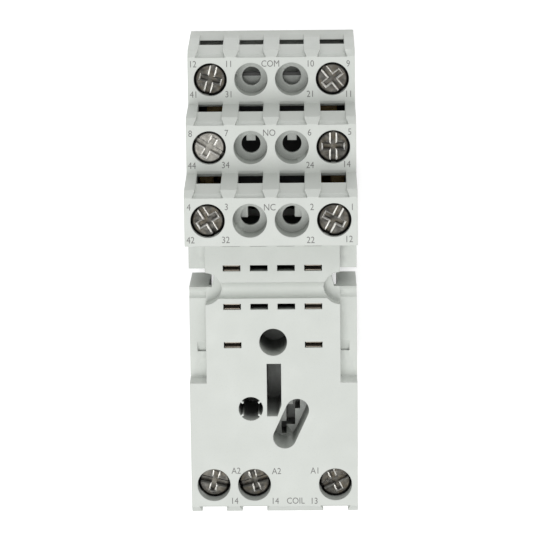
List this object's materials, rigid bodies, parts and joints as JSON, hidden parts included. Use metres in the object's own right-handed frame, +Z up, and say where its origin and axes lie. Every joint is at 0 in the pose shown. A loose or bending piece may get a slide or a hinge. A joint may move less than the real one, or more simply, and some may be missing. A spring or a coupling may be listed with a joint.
{
  "type": "relay socket",
  "caption": "Rail-mounted socket for a plug-in relay, with stepped tiers of screw terminals, rising wire clamps, blade contacts and a sprung rail latch.",
  "frame": {"origin": "middle of the rail channel, on the plane of the underside", "axes": "+X across the socket to the right seen from the coil end with the tiers away, +Y towards the contact end with the three tiers, +Z up out of the panel"},
  "size_m": [0.0274, 0.077, 0.0334],
  "materials": {
    "housing": "fine matt moulding",
    "cover": "fine matt moulding",
    "latch": "satin moulding",
    "spring_steel": "drawn wire",
    "screw_steel": "nickel plated, satin",
    "zinc_steel": "zinc plated",
    "brass_strip": "stamped",
    "contact_bronze": "stamped"
  },
  "bodies": {
    "socket": {"housing": "housing", "base_cover": "cover", "latch_spring": "spring_steel", "strip_com_left": "brass_strip", "strip_com_right": "brass_strip", "strip_no_left": "brass_strip", "strip_no_right": "brass_strip", "strip_nc_left": "brass_strip", "strip_nc_right": "brass_strip", "strip_a2": "brass_strip", "strip_a1": "brass_strip", "fork_com_left": "contact_bronze", "fork_com_right": "contact_bronze", "fork_no_left": "contact_bronze", "fork_no_right": "contact_bronze", "fork_nc_left": "contact_bronze", "fork_nc_right": "contact_bronze", "fork_a2": "contact_bronze", "fork_a1": "contact_bronze"},
    "screw_com_left": {"screw_com_left": "screw_steel"},
    "clamp_com_left": {"clamp_com_left": "zinc_steel"},
    "screw_com_right": {"screw_com_right": "screw_steel"},
    "clamp_com_right": {"clamp_com_right": "zinc_steel"},
    "screw_no_left": {"screw_no_left": "screw_steel"},
    "clamp_no_left": {"clamp_no_left": "zinc_steel"},
    "screw_no_right": {"screw_no_right": "screw_steel"},
    "clamp_no_right": {"clamp_no_right": "zinc_steel"},
    "screw_nc_left": {"screw_nc_left": "screw_steel"},
    "clamp_nc_left": {"clamp_nc_left": "zinc_steel"},
    "screw_nc_right": {"screw_nc_right": "screw_steel"},
    "clamp_nc_right": {"clamp_nc_right": "zinc_steel"},
    "screw_a2_outer": {"screw_a2_outer": "screw_steel"},
    "clamp_a2_outer": {"clamp_a2_outer": "zinc_steel"},
    "screw_a2_inner": {"screw_a2_inner": "screw_steel"},
    "clamp_a2_inner": {"clamp_a2_inner": "zinc_steel"},
    "screw_a1": {"screw_a1": "screw_steel"},
    "clamp_a1": {"clamp_a1": "zinc_steel"},
    "latch": {"rail_latch": "latch"}
  },
  "joints": [
    {"name": "turn_com_left", "type": "hinge", "parent": "socket", "child": "screw_com_left", "pos_m": [-0.01, 0.0321, 0.0117], "axis": [0, 0, -1], "range_deg": [0, 2160]},
    {"name": "rise_com_left", "type": "slide", "parent": "socket", "child": "clamp_com_left", "axis": [0, 0, 1], "range_m": [0, 0.003]},
    {"name": "turn_com_right", "type": "hinge", "parent": "socket", "child": "screw_com_right", "pos_m": [0.01, 0.0321, 0.0117], "axis": [0, 0, -1], "range_deg": [0, 2160]},
    {"name": "rise_com_right", "type": "slide", "parent": "socket", "child": "clamp_com_right", "axis": [0, 0, 1], "range_m": [0, 0.003]},
    {"name": "turn_no_left", "type": "hinge", "parent": "socket", "child": "screw_no_left", "pos_m": [-0.01, 0.0223, 0.0209], "axis": [0, 0, -1], "range_deg": [0, 2160]},
    {"name": "rise_no_left", "type": "slide", "parent": "socket", "child": "clamp_no_left", "axis": [0, 0, 1], "range_m": [0, 0.003]},
    {"name": "turn_no_right", "type": "hinge", "parent": "socket", "child": "screw_no_right", "pos_m": [0.01, 0.0223, 0.0209], "axis": [0, 0, -1], "range_deg": [0, 2160]},
    {"name": "rise_no_right", "type": "slide", "parent": "socket", "child": "clamp_no_right", "axis": [0, 0, 1], "range_m": [0, 0.003]},
    {"name": "turn_nc_left", "type": "hinge", "parent": "socket", "child": "screw_nc_left", "pos_m": [-0.01, 0.01225, 0.0309], "axis": [0, 0, -1], "range_deg": [0, 2160]},
    {"name": "rise_nc_left", "type": "slide", "parent": "socket", "child": "clamp_nc_left", "axis": [0, 0, 1], "range_m": [0, 0.003]},
    {"name": "turn_nc_right", "type": "hinge", "parent": "socket", "child": "screw_nc_right", "pos_m": [0.01, 0.01225, 0.0309], "axis": [0, 0, -1], "range_deg": [0, 2160]},
    {"name": "rise_nc_right", "type": "slide", "parent": "socket", "child": "clamp_nc_right", "axis": [0, 0, 1], "range_m": [0, 0.003]},
    {"name": "turn_a2_outer", "type": "hinge", "parent": "socket", "child": "screw_a2_outer", "pos_m": [-0.01, -0.0337, 0.0225], "axis": [0, 0, -1], "range_deg": [0, 2160]},
    {"name": "rise_a2_outer", "type": "slide", "parent": "socket", "child": "clamp_a2_outer", "axis": [0, 0, 1], "range_m": [0, 0.003]},
    {"name": "turn_a2_inner", "type": "hinge", "parent": "socket", "child": "screw_a2_inner", "pos_m": [-0.00333, -0.0337, 0.0225], "axis": [0, 0, -1], "range_deg": [0, 2160]},
    {"name": "rise_a2_inner", "type": "slide", "parent": "socket", "child": "clamp_a2_inner", "axis": [0, 0, 1], "range_m": [0, 0.003]},
    {"name": "turn_a1", "type": "hinge", "parent": "socket", "child": "screw_a1", "pos_m": [0.01, -0.0337, 0.0225], "axis": [0, 0, -1], "range_deg": [0, 2160]},
    {"name": "rise_a1", "type": "slide", "parent": "socket", "child": "clamp_a1", "axis": [0, 0, 1], "range_m": [0, 0.003]},
    {"name": "latch_slide", "type": "slide", "parent": "socket", "child": "latch", "axis": [0, -1, 0], "range_m": [0, 0.003], "stiffness_N_per_m": 500, "springref_m": -0.002, "deforming": ["latch_spring"]}
  ],
  "couplings": [
    {"joint": "turn_com_left", "follows": "rise_com_left", "rad_per_m": 12566},
    {"joint": "turn_com_right", "follows": "rise_com_right", "rad_per_m": 12566},
    {"joint": "turn_no_left", "follows": "rise_no_left", "rad_per_m": 12566},
    {"joint": "turn_no_right", "follows": "rise_no_right", "rad_per_m": 12566},
    {"joint": "turn_nc_left", "follows": "rise_nc_left", "rad_per_m": 12566},
    {"joint": "turn_nc_right", "follows": "rise_nc_right", "rad_per_m": 12566},
    {"joint": "turn_a2_outer", "follows": "rise_a2_outer", "rad_per_m": 12566},
    {"joint": "turn_a2_inner", "follows": "rise_a2_inner", "rad_per_m": 12566},
    {"joint": "turn_a1", "follows": "rise_a1", "rad_per_m": 12566}
  ]
}
